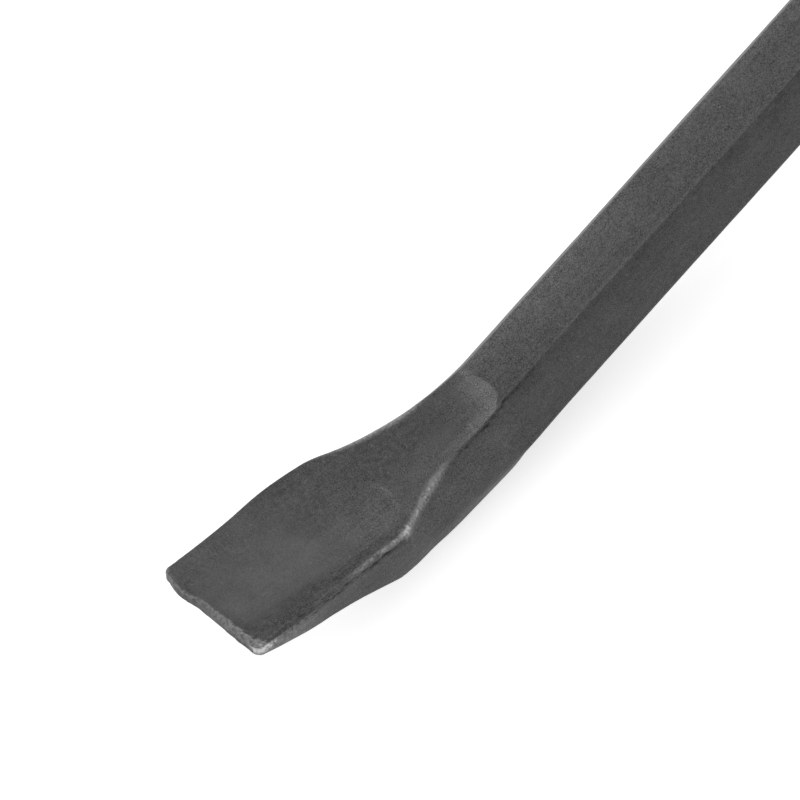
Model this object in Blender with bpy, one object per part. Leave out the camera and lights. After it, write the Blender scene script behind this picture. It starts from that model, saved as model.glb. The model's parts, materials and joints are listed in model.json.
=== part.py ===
"""A gooseneck crowbar: one hexagonal steel bar with a flat chisel at one end and a forked claw at the other.

Lengths are in metres. The bar is drawn in its own frame first: the straight shaft lies on the X axis from the
chisel's neck at X = 0 to the gooseneck, with two of its six flats level. The blade bends up, the hook bends down.
One empty then tips the whole bar over, so that it rests on the outside of the neck's bend and on the two claw tips.
"""

import math

import bmesh
import bpy
from mathutils import Matrix, Vector

# Bar stock
ACROSS_FLATS = 0.019
EDGE_CUT = 0.0009
SHAFT_LENGTH = 0.500

# Chisel end
NECK_BEND = math.radians(22.2)
NECK_RADIUS = 0.092
NECK_FULLNESS = 0.0007
BLADE_WIDTH = 0.0250
BLADE_BELLY = 0.00065
BLADE_LENGTH = 0.0380
HEEL_SETBACK = 0.0027
HEEL_THICKNESS = 0.0108
TIP_THICKNESS = 0.0023
TIP_CROWN = 0.0005
TIP_CORNER_RADIUS = 0.0013

# How late the hexagon's top face, side corners and bottom face widen along the neck: 1 is a straight flare
TOP_FLARE = 2.3
SIDE_FLARE = 1.25
BOTTOM_FLARE = 0.9

# Hook end
HOOK_BEND = math.radians(138.0)
HOOK_RADIUS = 0.034
CLAW_LENGTH = 0.060
CLAW_RADIUS = 0.170
CLAW_WIDTH = 0.031
CLAW_ROOT_THICKNESS = 0.0085
CLAW_TIP_THICKNESS = 0.0026
TINE_CORNER_RADIUS = 0.0035

# Nail slot between the two tines
SLOT_LENGTH = 0.034
SLOT_MOUTH_WIDTH = 0.0115
SLOT_ROOT_RADIUS = 0.0016
SLOT_BEVEL = 0.0012
SLOT_BEVEL_AT_ROOT = 0.0002
SLOT_BEVEL_RUN = 0.005

# Clearance left between neighbouring sections of the bar
SECTION_GAP = 0.0003

# How finely the curved stretches are stepped
CORNER_STEPS = 2
NECK_STEPS = 12
BLADE_STEPS = 8
HOOK_STEPS = 26
CLAW_ROOT_STEPS = 10
TINE_STEPS = 10
END_STEPS = 4
ACROSS_STEPS = 4

# Sizes that follow from the ones above
HALF_FLATS = ACROSS_FLATS / 2
HALF_FLAT_WIDTH = HALF_FLATS * math.tan(math.radians(30))
HALF_CORNERS = 2 * HALF_FLAT_WIDTH
NECK_LENGTH = NECK_RADIUS * NECK_BEND
HALF_BLADE = BLADE_WIDTH / 2
HALF_CLAW = CLAW_WIDTH / 2
SLOT_START = CLAW_LENGTH - SLOT_LENGTH


def remove_everything():
    """Empties the scene that Blender starts with."""
    for thing in list(bpy.data.objects):
        bpy.data.objects.remove(thing, do_unlink=True)


def metal(name, colour, roughness, metallic):
    """One plain metal finish."""
    finish = bpy.data.materials.new(name)
    finish.use_nodes = True
    shader = finish.node_tree.nodes["Principled BSDF"]
    shader.inputs["Base Color"].default_value = (*colour, 1.0)
    shader.inputs["Roughness"].default_value = roughness
    shader.inputs["Metallic"].default_value = metallic
    return finish


def ease(share):
    """Runs from 0 to 1 with a level start and a level end."""
    share = min(max(share, 0.0), 1.0)
    return share * share * (3 - 2 * share)


def mix(low, high, share):
    return low + (high - low) * share


def along_arc(radius, angle, side):
    """Matrix at an angle along an arc that leaves the origin along +X and bends towards side * Z."""
    turn = Matrix.Rotation(-side * angle, 4, "Y")
    centre = Matrix.Translation((0, 0, side * radius))
    return centre @ turn @ centre.inverted()


def chisel_place(distance):
    """Where the bar's middle line is, that far past the shaft's end towards the tip, with local +X to the tip."""
    face_tip = Matrix.Rotation(math.pi, 4, "Z")
    bend = min(max(distance, 0.0), NECK_LENGTH) / NECK_RADIUS
    straight = distance if distance < 0 else max(distance - NECK_LENGTH, 0.0)
    return face_tip @ along_arc(NECK_RADIUS, bend, 1) @ Matrix.Translation((straight, 0, 0))


def hook_place(angle):
    """Where the middle line is at an angle round the hook, with local +X towards the claw."""
    return Matrix.Translation((SHAFT_LENGTH, 0, 0)) @ along_arc(HOOK_RADIUS, angle, -1)


def claw_place(distance):
    """Where the middle line is, that far past the hook's end, on the claw's own wider sweep."""
    return hook_place(HOOK_BEND) @ along_arc(CLAW_RADIUS, distance / CLAW_RADIUS, -1)


def rounded_outline(corners):
    """Points round a section from its corners (y, z, cut, splits): the cut is how far the corner's curve runs
    along the faces beside it, and splits is how many points then divide the face that follows."""
    points = []
    count = len(corners)
    for i in range(count):
        before = Vector(corners[i - 1][:2])
        here = Vector(corners[i][:2])
        after = Vector(corners[(i + 1) % count][:2])
        cut = min(corners[i][2], 0.4 * (before - here).length, 0.4 * (after - here).length)
        start = here + (before - here).normalized() * cut
        end = here + (after - here).normalized() * cut
        for step in range(CORNER_STEPS + 1):
            share = step / CORNER_STEPS
            points.append(start.lerp(here, share).lerp(here.lerp(end, share), share))
        next_cut = min(corners[(i + 1) % count][2], 0.4 * (after - here).length)
        face_end = after + (here - after).normalized() * next_cut
        for split in range(1, corners[i][3]):
            points.append(end.lerp(face_end, split / corners[i][3]))
    return points


def bar_section(top_half, side_half, bottom_half, top, bottom, splits=0):
    """Six-sided section: level top and bottom faces, and a corner at mid height on each side."""
    middle = (top + bottom) / 2
    return rounded_outline([
        (-top_half, top, EDGE_CUT, splits),
        (top_half, top, EDGE_CUT, 0),
        (side_half, middle, EDGE_CUT, 0),
        (bottom_half, bottom, EDGE_CUT, splits),
        (-bottom_half, bottom, EDGE_CUT, 0),
        (-side_half, middle, EDGE_CUT, 0),
    ])


def stock_section():
    """The plain hexagonal bar."""
    return bar_section(HALF_FLAT_WIDTH, HALF_CORNERS, HALF_FLAT_WIDTH, HALF_FLATS, -HALF_FLATS)


def end_rounding(left, radius):
    """How much a rounded end has narrowed a side, with that much length left before the end."""
    if left >= radius:
        return 0.0
    return radius - math.sqrt(max(radius * radius - (radius - left) ** 2, 0.0))


def chisel_bottom(distance):
    """Height of the underside: it rises to the heel, then tapers straight to the tip."""
    heel_at = NECK_LENGTH + HEEL_SETBACK
    heel = HALF_FLATS - HEEL_THICKNESS
    tip = HALF_FLATS - TIP_THICKNESS
    if distance < heel_at:
        return mix(-HALF_FLATS, heel, ease(distance / heel_at))
    return mix(heel, tip, (distance - heel_at) / (BLADE_LENGTH - HEEL_SETBACK))


def neck_section(distance):
    """The hexagon widens into the blade's rectangle, its bottom first and its top last."""
    share = distance / NECK_LENGTH
    top_half = mix(HALF_FLAT_WIDTH, HALF_BLADE, share ** TOP_FLARE)
    side_half = mix(HALF_CORNERS, HALF_BLADE, share ** SIDE_FLARE)
    bottom_half = mix(HALF_FLAT_WIDTH, HALF_BLADE, share ** BOTTOM_FLARE)
    top = HALF_FLATS + NECK_FULLNESS * 4 * share * (1 - share)
    return bar_section(top_half, side_half, bottom_half, top, chisel_bottom(distance))


def blade_section(distance):
    """The blade's sides belly out a little, and its two plan corners are rounded."""
    along = (distance - NECK_LENGTH) / BLADE_LENGTH
    half = HALF_BLADE + BLADE_BELLY * 4 * along * (1 - along)
    half -= end_rounding(BLADE_LENGTH * (1 - along), TIP_CORNER_RADIUS)
    return bar_section(half, half, half, HALF_FLATS, chisel_bottom(distance), ACROSS_STEPS)


def claw_half_width(distance):
    """Half the claw's width, from the bar's corners out to the tines."""
    spread = ease(distance / (SLOT_START + SLOT_LENGTH / 3))
    return mix(HALF_CORNERS, HALF_CLAW, spread)


def claw_half_thickness(distance):
    """Half the claw's thickness: forged down fast as far as the slot, then a slow taper."""
    if distance < SLOT_START:
        return mix(ACROSS_FLATS, CLAW_ROOT_THICKNESS, ease(distance / SLOT_START)) / 2
    return mix(CLAW_ROOT_THICKNESS, CLAW_TIP_THICKNESS, (distance - SLOT_START) / SLOT_LENGTH) / 2


def claw_root_section(distance):
    half = claw_half_width(distance)
    flat_half = mix(HALF_FLAT_WIDTH, half, ease(distance / SLOT_START))
    thick = claw_half_thickness(distance)
    return bar_section(flat_half, half, flat_half, thick, -thick)


def slot_half_width(distance):
    """Half the slot's width: a round root, then straight sides out to the mouth."""
    depth = max(distance - SLOT_START, 0.0)
    if depth < SLOT_ROOT_RADIUS:
        return math.sqrt(max(SLOT_ROOT_RADIUS ** 2 - (SLOT_ROOT_RADIUS - depth) ** 2, 0.0))
    share = (depth - SLOT_ROOT_RADIUS) / (SLOT_LENGTH - SLOT_ROOT_RADIUS)
    return mix(SLOT_ROOT_RADIUS, SLOT_MOUTH_WIDTH / 2, share)


def tine_section(distance, side):
    """One tine: its inner edge is bevelled on the hook's inside, where a nail's head bears, from the slot's
    root on."""
    rounding = end_rounding(CLAW_LENGTH - distance, TINE_CORNER_RADIUS)
    inner = SECTION_GAP / 2 + slot_half_width(distance) + rounding / 3
    outer = claw_half_width(distance) - rounding
    thick = claw_half_thickness(distance)
    opened = ease((distance - SLOT_START) / SLOT_BEVEL_RUN)
    corners = [
        (inner, thick, mix(SLOT_BEVEL_AT_ROOT, EDGE_CUT, opened), 0),
        (outer, thick, EDGE_CUT, 0),
        (outer, -thick, EDGE_CUT, 0),
        (inner, -thick, mix(SLOT_BEVEL_AT_ROOT, SLOT_BEVEL, opened), 0),
    ]
    return [Vector((side * point.x, point.y)) for point in rounded_outline(corners)]


def placed(outline, place, crown=0.0):
    """Carries a flat outline to its station; a crown pushes its middle forward."""
    widest = max(abs(point.x) for point in outline)
    return [
        place @ Vector((crown * (1 - (point.x / widest) ** 2), point.x, point.y))
        for point in outline
    ]


def evenly(start, end, steps):
    return [mix(start, end, step / steps) for step in range(steps + 1)]


def with_round_end(start, end, steps, radius):
    """Stations from start to end, closer together along the rounding before the end."""
    last_straight = end - radius
    curve = [end - radius * (1 - math.sin(math.pi / 2 * k / END_STEPS)) for k in range(1, END_STEPS)]
    return evenly(start, last_straight, steps) + curve + [end]


def neck_stations():
    distances = evenly(SECTION_GAP / 2, NECK_LENGTH - SECTION_GAP / 2, NECK_STEPS)
    return [placed(neck_section(d), chisel_place(d)) for d in distances]


def blade_stations():
    heel_at = NECK_LENGTH + HEEL_SETBACK
    tip_at = NECK_LENGTH + BLADE_LENGTH
    rest = with_round_end(heel_at, tip_at, BLADE_STEPS, TIP_CORNER_RADIUS * 0.9)
    stations = []
    for distance in [NECK_LENGTH + SECTION_GAP / 2] + rest:
        crown = TIP_CROWN * (distance - NECK_LENGTH) / BLADE_LENGTH
        place = chisel_place(distance - crown)
        stations.append(placed(blade_section(distance), place, crown))
    return stations


def shaft_stations():
    ends = (SECTION_GAP / 2, SHAFT_LENGTH - SECTION_GAP / 2)
    return [placed(stock_section(), Matrix.Translation((x, 0, 0))) for x in ends]


def hook_stations():
    margin = SECTION_GAP / 2 / HOOK_RADIUS
    angles = evenly(margin, HOOK_BEND - margin, HOOK_STEPS)
    return [placed(stock_section(), hook_place(angle)) for angle in angles]


def claw_root_stations():
    distances = evenly(SECTION_GAP / 2, SLOT_START - SECTION_GAP / 2, CLAW_ROOT_STEPS)
    return [placed(claw_root_section(d), claw_place(d)) for d in distances]


def tine_stations(side):
    root_end = SLOT_START + SLOT_ROOT_RADIUS
    root = evenly(SLOT_START + SECTION_GAP / 2, root_end, END_STEPS)
    rest = with_round_end(root_end, CLAW_LENGTH, TINE_STEPS, TINE_CORNER_RADIUS * 0.98)[1:]
    return [placed(tine_section(d, side), claw_place(d)) for d in root + rest]


def resting_place(sections):
    """Matrix that tips the bar until its lowest front and back points are level, and sets it on the origin."""
    points = [p for stations in sections.values() for station in stations for p in station]
    front_points = [p for p in points if p.x < SHAFT_LENGTH / 2]
    back_points = [p for p in points if p.x >= SHAFT_LENGTH / 2]
    turn = Matrix.Identity(4)
    for _ in range(10):
        front = min(front_points, key=lambda p: (turn @ p).z)
        back = min(back_points, key=lambda p: (turn @ p).z)
        run = back - front
        turn = Matrix.Rotation(math.atan2(run.z, run.x), 4, "Y")
    turned = [turn @ p for p in points]
    middle_x = (min(p.x for p in turned) + max(p.x for p in turned)) / 2
    floor_z = min(p.z for p in turned)
    return Matrix.Translation((-middle_x, 0, -floor_z)) @ turn


def loft(name, stations, finish, parent):
    """Draws a ring at the first station, extrudes it through the others and caps both ends."""
    shape = bmesh.new()
    count = len(stations[0])
    ring = list(bmesh.ops.create_circle(shape, segments=count, radius=ACROSS_FLATS)["verts"])
    for vertex, point in zip(ring, stations[0]):
        vertex.co = point
    for points in stations[1:]:
        edges = [shape.edges.get((ring[i - 1], ring[i])) for i in range(count)]
        grown = bmesh.ops.extrude_edge_only(shape, edges=edges)["geom"]
        fresh = {v for v in grown if isinstance(v, bmesh.types.BMVert)}
        ring = [next(e.other_vert(v) for e in v.link_edges if e.other_vert(v) in fresh) for v in ring]
        for vertex, point in zip(ring, points):
            vertex.co = point
    open_edges = [e for e in shape.edges if e.is_boundary]
    caps = bmesh.ops.holes_fill(shape, edges=open_edges, sides=count)["faces"]
    bmesh.ops.triangulate(shape, faces=caps, ngon_method="BEAUTY")
    bmesh.ops.recalc_face_normals(shape, faces=shape.faces)
    mesh = bpy.data.meshes.new(name)
    shape.to_mesh(mesh)
    shape.free()
    mesh.materials.append(finish)
    mesh.shade_smooth()
    mesh.set_sharp_from_angle(angle=math.radians(20))
    piece = bpy.data.objects.new(name, mesh)
    bpy.context.scene.collection.objects.link(piece)
    piece.parent = parent
    return piece


def build():
    remove_everything()
    sections = {
        "chisel_blade": blade_stations(),
        "chisel_neck": neck_stations(),
        "hex_shaft": shaft_stations(),
        "gooseneck": hook_stations(),
        "claw_root": claw_root_stations(),
        "left_tine": tine_stations(-1),
        "right_tine": tine_stations(1),
    }
    lie = bpy.data.objects.new("lie", None)
    bpy.context.scene.collection.objects.link(lie)
    lie.matrix_world = resting_place(sections)

    colours = {
        "chisel_blade": (0.12, 0.12, 0.12),
        "left_tine": (0.12, 0.12, 0.12),
        "right_tine": (0.12, 0.12, 0.12),
    }
    for name, stations in sections.items():
        finish = metal(name + "_steel", colours.get(name, (0.085, 0.085, 0.085)), 0.5, 0.6)
        loft(name, stations, finish, lie)
    print("resting tilt", round(math.degrees(lie.rotation_euler.y), 2), "degrees, place", tuple(lie.location))


build()
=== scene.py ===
# %% [markdown]
# A gooseneck crowbar, dressed for its picture.
# The real bar is one forging: a 19 mm hexagonal steel bar, hammered flat into a chisel at one end, bent
# round and split into a nail claw at the other, and dipped in a dark grey lacquer. The frame holds it as
# seven plain solids. Here each solid gets a finer skin of the same shape, with the marks of the forge and
# of use on it.

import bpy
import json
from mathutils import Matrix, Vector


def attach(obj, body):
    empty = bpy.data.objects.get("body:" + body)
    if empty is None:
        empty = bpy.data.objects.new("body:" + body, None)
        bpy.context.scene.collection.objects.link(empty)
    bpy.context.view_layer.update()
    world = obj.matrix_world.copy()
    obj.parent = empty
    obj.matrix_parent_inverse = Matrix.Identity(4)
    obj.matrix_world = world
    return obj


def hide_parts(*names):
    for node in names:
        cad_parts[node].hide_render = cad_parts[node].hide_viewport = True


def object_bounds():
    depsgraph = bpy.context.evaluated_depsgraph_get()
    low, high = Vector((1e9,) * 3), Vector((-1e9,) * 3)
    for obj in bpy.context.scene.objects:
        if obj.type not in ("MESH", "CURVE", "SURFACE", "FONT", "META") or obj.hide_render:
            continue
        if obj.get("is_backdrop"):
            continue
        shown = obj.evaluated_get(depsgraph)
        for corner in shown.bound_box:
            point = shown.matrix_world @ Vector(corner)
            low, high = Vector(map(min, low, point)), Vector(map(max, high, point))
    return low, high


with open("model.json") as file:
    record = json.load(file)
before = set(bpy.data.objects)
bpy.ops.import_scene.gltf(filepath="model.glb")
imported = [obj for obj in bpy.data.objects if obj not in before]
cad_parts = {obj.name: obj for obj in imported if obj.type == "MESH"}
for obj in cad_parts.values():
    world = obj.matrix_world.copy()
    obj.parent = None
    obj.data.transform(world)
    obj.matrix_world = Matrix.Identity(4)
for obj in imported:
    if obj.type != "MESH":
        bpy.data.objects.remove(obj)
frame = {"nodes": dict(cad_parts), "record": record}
cad_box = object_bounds()
print("nodes in the frame:", sorted(frame["nodes"]))

# %% Blender's modules
import json
import math

import bmesh
import bpy
from mathutils import Matrix, Vector, noise

MM = 0.001
scene = bpy.context.scene
add_object = scene.collection.objects.link
print("Blender", bpy.app.version_string)

# %% [markdown]
# The bar is easiest to draw in its own frame: the straight shaft on the X axis, the neck's start at X = 0,
# the photographed flat facing up. On the floor it is tipped about ten degrees, and the record's mount on
# the shaft's top flat gives that tip back without any guessing.

# %% The bar's own frame in the world
ACROSS_FLATS = 19.0 * MM
HALF_FLATS = ACROSS_FLATS / 2
SHAFT_LENGTH = 500.0 * MM

top_flat = next(m for m in frame["record"]["mounts"] if m["name"] == "shaft_top_flat")
bar_up = Vector(top_flat["axis"]).normalized()
bar_across = Vector((0, 1, 0))
bar_along = bar_across.cross(bar_up)
bar_start = Vector(top_flat["pos_m"]) - bar_along * SHAFT_LENGTH / 2 - bar_up * HALF_FLATS
lie = Matrix.Translation(bar_start) @ Matrix((bar_along, bar_across, bar_up)).transposed().to_4x4()
print("the shaft climbs", round(math.degrees(math.asin(bar_along.z)), 2), "degrees")

# %% [markdown]
# The camera looks down on the chisel end from above the near side, rolled so that the shaft leaves through
# the picture's upper right corner. A long lens from a metre away keeps the two edges of the shaft nearly
# parallel, as the photograph does.

# %% The camera
CAMERA_DISTANCE = 983.9 * MM
CAMERA_LENS = 238.48
CAMERA_AZIMUTH = math.radians(6.431)
CAMERA_ELEVATION = math.radians(61.600)
CAMERA_ROLL = math.radians(-42.358)
AIM = Vector((-13.37, 10.56, 9.5)) * MM

level = math.cos(CAMERA_ELEVATION)
back = Vector((
    -math.sin(CAMERA_AZIMUTH) * level,
    -math.cos(CAMERA_AZIMUTH) * level,
    math.sin(CAMERA_ELEVATION),
))
level_right = Vector((0, 0, 1)).cross(back).normalized()
level_up = back.cross(level_right)
right = level_right * math.cos(CAMERA_ROLL) + level_up * math.sin(CAMERA_ROLL)
up = back.cross(right)

camera_data = bpy.data.cameras.new("camera")
camera_data.lens = CAMERA_LENS
camera_data.sensor_width = 36.0
camera_data.clip_start = 0.05
camera_data.clip_end = 50.0
camera = bpy.data.objects.new("camera", camera_data)
turn = Matrix((right, up, back)).transposed().to_4x4()
camera.matrix_world = lie @ Matrix.Translation(AIM + back * CAMERA_DISTANCE) @ turn
add_object(camera)
scene.camera = camera
print("camera at", tuple(round(v, 3) for v in camera.matrix_world.translation))

# %% [markdown]
# The floor is a plain pale sheet. The lamps light it like everything else, so that it keeps the bar's
# shadow, and what the camera and mirrors see of it is lifted to white, as is the world behind it. Both
# could be made in the node editor; two small helpers do it here, because the finish needs many nodes too.

# %% Nodes in one line each
def add_node(tree, kind, inputs=(), **settings):
    """Adds a node, sets its properties, and fills its sockets by name with values or with other sockets."""
    made = tree.nodes.new(kind)
    for key, value in settings.items():
        setattr(made, key, value)
    for key, value in dict(inputs).items():
        socket = made.inputs[key]
        if isinstance(value, bpy.types.NodeSocket):
            tree.links.new(value, socket)
        else:
            socket.default_value = value
    return made


def seen_directly(tree):
    """Socket that is 1 for rays from the camera, from a mirror or through glass."""
    path = add_node(tree, "ShaderNodeLightPath")
    seen = path.outputs["Is Camera Ray"]
    for other in ("Is Glossy Ray", "Is Transmission Ray"):
        pair = {0: seen, 1: path.outputs[other]}
        seen = add_node(tree, "ShaderNodeMath", pair, operation="MAXIMUM").outputs[0]
    return seen


print("helpers:", add_node.__name__, "and", seen_directly.__name__)

# %% The floor and the world
FLOOR_SIZE = 40.0
FLOOR_COLOUR = (0.80, 0.80, 0.80, 1.0)
FLOOR_ROUGHNESS = 0.9
FLOOR_LIFT = 0.60
WORLD_LIGHT = 0.61
WHITE = (1, 1, 1, 1)

floor_finish = bpy.data.materials.new("pale_floor")
floor_finish.use_nodes = True
tree = floor_finish.node_tree
paint = tree.nodes["Principled BSDF"]
paint.inputs["Base Color"].default_value = FLOOR_COLOUR
paint.inputs["Roughness"].default_value = FLOOR_ROUGHNESS
paint.inputs["Emission Color"].default_value = WHITE
lift = add_node(tree, "ShaderNodeMath", {0: seen_directly(tree), 1: FLOOR_LIFT}, operation="MULTIPLY")
tree.links.new(lift.outputs[0], paint.inputs["Emission Strength"])

sheet = bmesh.new()
bmesh.ops.create_grid(sheet, x_segments=1, y_segments=1, size=FLOOR_SIZE / 2)
floor_mesh = bpy.data.meshes.new("floor")
sheet.to_mesh(floor_mesh)
sheet.free()
floor_mesh.materials.append(floor_finish)
floor = bpy.data.objects.new("floor", floor_mesh)
add_object(floor)
floor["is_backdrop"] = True

world = bpy.data.worlds.new("studio")
world.use_nodes = True
scene.world = world
tree = world.node_tree
tree.nodes.clear()
ambient = add_node(tree, "ShaderNodeBackground", {"Color": WHITE, "Strength": WORLD_LIGHT})
white = add_node(tree, "ShaderNodeBackground", {"Color": WHITE, "Strength": 1.0})
choice = {0: seen_directly(tree), 1: ambient.outputs[0], 2: white.outputs[0]}
either = add_node(tree, "ShaderNodeMixShader", choice)
add_node(tree, "ShaderNodeOutputWorld", {"Surface": either.outputs[0]})
scene.view_settings.view_transform = "Standard"
print("floor", FLOOR_SIZE, "m wide")

# %% [markdown]
# Soft studio light: large lamps around the chisel, named by where they stand as seen from the bar's near
# side, and hidden from the camera so that they never show in another view.

# %% The lamps
LAMP_SIZE = 0.9
LAMPS = {
    "far_lamp": ((0.00, 1.37, 0.64), 7.6),
    "hook_lamp": ((1.35, 0.00, 0.64), 4.3),
    "near_lamp": ((0.95, -0.95, 0.64), 0.8),
}
for name, (place, watts) in LAMPS.items():
    lamp_data = bpy.data.lights.new(name, "AREA")
    lamp_data.shape = "SQUARE"
    lamp_data.size = LAMP_SIZE
    lamp_data.energy = watts
    lamp = bpy.data.objects.new(name, lamp_data)
    lamp.location = lie @ Vector(place)
    lamp.rotation_euler = (lamp.location - lie @ AIM).to_track_quat("Z", "Y").to_euler()
    lamp.visible_camera = False
    add_object(lamp)
print(len(LAMPS), "lamps")

# %% [markdown]
# The bar's middle line runs as in the plain solids: a short bend up into the blade at one end, and at the
# other a tight bend down, round the hook, then a wider sweep along the claw. Each function returns the
# matrix that carries a flat section, drawn with Y across the bar and Z up, to its station.

# %% Where the middle line runs
NECK_BEND = math.radians(22.2)
NECK_RADIUS = 92.0 * MM
NECK_LENGTH = NECK_RADIUS * NECK_BEND
HOOK_BEND = math.radians(138.0)
HOOK_RADIUS = 34.0 * MM
HOOK_LENGTH = HOOK_RADIUS * HOOK_BEND
CLAW_RADIUS = 170.0 * MM


def ease(share):
    """Runs from 0 to 1 with a level start and a level end."""
    share = min(max(share, 0.0), 1.0)
    return share * share * (3 - 2 * share)


def mix(low, high, share):
    return low + (high - low) * share


def evenly(start, end, steps):
    return [mix(start, end, step / steps) for step in range(steps + 1)]


def along_arc(radius, angle, side):
    """Matrix at an angle along an arc that leaves the origin along +X and bends towards side * Z."""
    bend = Matrix.Rotation(-side * angle, 4, "Y")
    centre = Matrix.Translation((0, 0, side * radius))
    return centre @ bend @ centre.inverted()


def chisel_place(distance):
    """The middle line that far past the shaft's end towards the tip, with local +X to the tip."""
    face_tip = Matrix.Diagonal((-1, 1, 1, 1))
    bend = min(max(distance, 0.0), NECK_LENGTH) / NECK_RADIUS
    straight = max(distance - NECK_LENGTH, 0.0)
    return face_tip @ along_arc(NECK_RADIUS, bend, 1) @ Matrix.Translation((straight, 0, 0))


def shaft_place(distance):
    return Matrix.Translation((distance, 0, 0))


def hook_place(distance):
    """The middle line that far round the hook."""
    return shaft_place(SHAFT_LENGTH) @ along_arc(HOOK_RADIUS, distance / HOOK_RADIUS, -1)


def claw_place(distance):
    """The middle line that far past the hook's end, on the claw's own wider sweep."""
    return hook_place(HOOK_LENGTH) @ along_arc(CLAW_RADIUS, distance / CLAW_RADIUS, -1)


print("neck", round(NECK_LENGTH / MM, 1), "mm along, hook", round(HOOK_LENGTH / MM, 1), "mm along")

# %% [markdown]
# A section is walked once round. Its corners are small curves, and its faces have more points near their
# ends, where the marks are. Every point also learns its way round the outline from each corner, which later
# places the ridge, the hollows and the wear. A bevel modifier could round the corners as well, but then the
# points wouldn't know their place.

# %% Sections
EDGE_CUT = 0.9 * MM
CORNER_STEPS = 6
CROWDING = 0.55
CUT_LIMIT = 0.4


def crowded(share):
    """Spreads even shares so that both ends get the closer ones."""
    return mix(share, (1 - math.cos(math.pi * share)) / 2, CROWDING)


def walk_round(corners):
    """Points round a section, from its corners (y, z, cut, splits), and each one's way from each corner."""
    points = []
    middles = []
    count = len(corners)
    for i in range(count):
        before = Vector(corners[i - 1][:2])
        here = Vector(corners[i][:2])
        after = Vector(corners[(i + 1) % count][:2])
        cut = min(corners[i][2], CUT_LIMIT * (before - here).length, CUT_LIMIT * (after - here).length)
        start = here + (before - here).normalized() * cut
        end = here + (after - here).normalized() * cut
        middles.append(len(points) + CORNER_STEPS // 2)
        for step in range(CORNER_STEPS + 1):
            share = step / CORNER_STEPS
            points.append(start.lerp(here, share).lerp(here.lerp(end, share), share))
        next_cut = min(corners[(i + 1) % count][2], CUT_LIMIT * (after - here).length)
        face_end = after + (here - after).normalized() * next_cut
        splits = corners[i][3]
        for split in range(1, splits):
            points.append(end.lerp(face_end, crowded(split / splits)))
    ways = [0.0]
    for i in range(1, len(points)):
        ways.append(ways[-1] + (points[i] - points[i - 1]).length)
    around = ways[-1] + (points[0] - points[-1]).length
    gaps = [
        [(way - ways[middle] + around / 2) % around - around / 2 for middle in middles]
        for way in ways
    ]
    return points, gaps


print("a corner has", CORNER_STEPS + 1, "points, and a face's points are crowded by", CROWDING)

# %% The six-sided section
HALF_FLAT_WIDTH = HALF_FLATS * math.tan(math.radians(30))
HALF_CORNERS = 2 * HALF_FLAT_WIDTH
TOP_SPLITS = 56
BOTTOM_SPLITS = 40
SIDE_SPLITS = 22
RIDGE, FAR_TOP, FAR_SIDE, FAR_BOTTOM, NEAR_BOTTOM, NEAR_SIDE = range(6)
STOCK_CUTS = [cut * MM for cut in (0.5, 0.35, 0.5, 0.9, 0.9, 0.5)]


def bar_section(near, far, top, bottom, cuts=STOCK_CUTS):
    """Near and far each give half widths (top, side, bottom). The walk starts at the near top corner."""
    middle = (top + bottom) / 2
    return walk_round([
        (-near[0], top, cuts[RIDGE], TOP_SPLITS),
        (far[0], top, cuts[FAR_TOP], SIDE_SPLITS),
        (far[1], middle, cuts[FAR_SIDE], SIDE_SPLITS),
        (far[2], bottom, cuts[FAR_BOTTOM], BOTTOM_SPLITS),
        (-near[2], bottom, cuts[NEAR_BOTTOM], SIDE_SPLITS),
        (-near[1], middle, cuts[NEAR_SIDE], SIDE_SPLITS),
    ])


stock_halves = (HALF_FLAT_WIDTH, HALF_CORNERS, HALF_FLAT_WIDTH)
stock_section = bar_section(stock_halves, stock_halves, HALF_FLATS, -HALF_FLATS)
print("points round the bar:", len(stock_section[0]))

# %% [markdown]
# Forging leaves no face quite flat. The dies squeezed out a thin fin of steel along the near top edge; once
# trimmed, it left a low ridge with a hollow under it, from the blade to the hook. The faces wave by a few
# hundredths of a millimetre, and the edges have nicks. Each point of a section is moved along its normal,
# by its spot on the unbent bar, so that neighbouring skins agree where they meet. From here on, places and
# widths of marks are plain numbers of millimetres.

# %% Helpers for relief
LUMP_DIMENSION = 1.0
LUMP_LACUNARITY = 2.0
LUMP_OCTAVES = 2
TOP_MARGIN = 0.4


def rise(value, start, length):
    """0 up to the start, then easing up to 1 over the length."""
    return ease((value - start * MM) / (length * MM))


def window(value, start, end, soft):
    """1 between start and end, fading to 0 over the soft length outside them."""
    return rise(value, start - soft, soft) * rise(-value, -end - soft, soft)


def hill(value, centre, width):
    """A smooth hill, 1 at its centre."""
    return math.exp(-((value - centre * MM) / (width * MM)) ** 2)


def lumps(place, size):
    """Smooth noise between about -1 and 1, with lumps of that size along, across and up."""
    scaled = Vector([way / (length * MM) for way, length in zip(place, size)])
    return noise.fractal(scaled, LUMP_DIMENSION, LUMP_LACUNARITY, LUMP_OCTAVES)


def on_top(gaps):
    """1 on the top face, fading out at its two edges."""
    return rise(min(gaps[RIDGE], -gaps[FAR_TOP]), 0, TOP_MARGIN)


print("a hill falls to", round(hill(1 * MM, 0, 1), 2), "one width from its centre")

# %% Relief that the whole bar has
WAVE_DEPTH = 0.05 * MM
FACET_DEPTH = 0.025 * MM
NICK_DEPTH = 0.16 * MM
FACE_CROWN = 0.06 * MM
RIDGE_HEIGHT = 0.10 * MM
HOLLOW_DEPTH = 0.12 * MM
CREASE_DEPTH = 0.16 * MM
WAVE_SIZE = (26, 11, 11)
FACET_SIZE = (5, 3, 3)
NICK_SIZE = (1.7, 2.5, 2.5)
NICK_RARITY = 0.45
NEAR_HILLS = ((0.20, 4, 8), (0.12, 12, 5), (0.32, 24.5, 5.5), (0.74, 36.5, 7.5), (-0.10, 52, 6))
FULLER_BAR = 0.16
FULLER_TIP = 0.1


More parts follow.
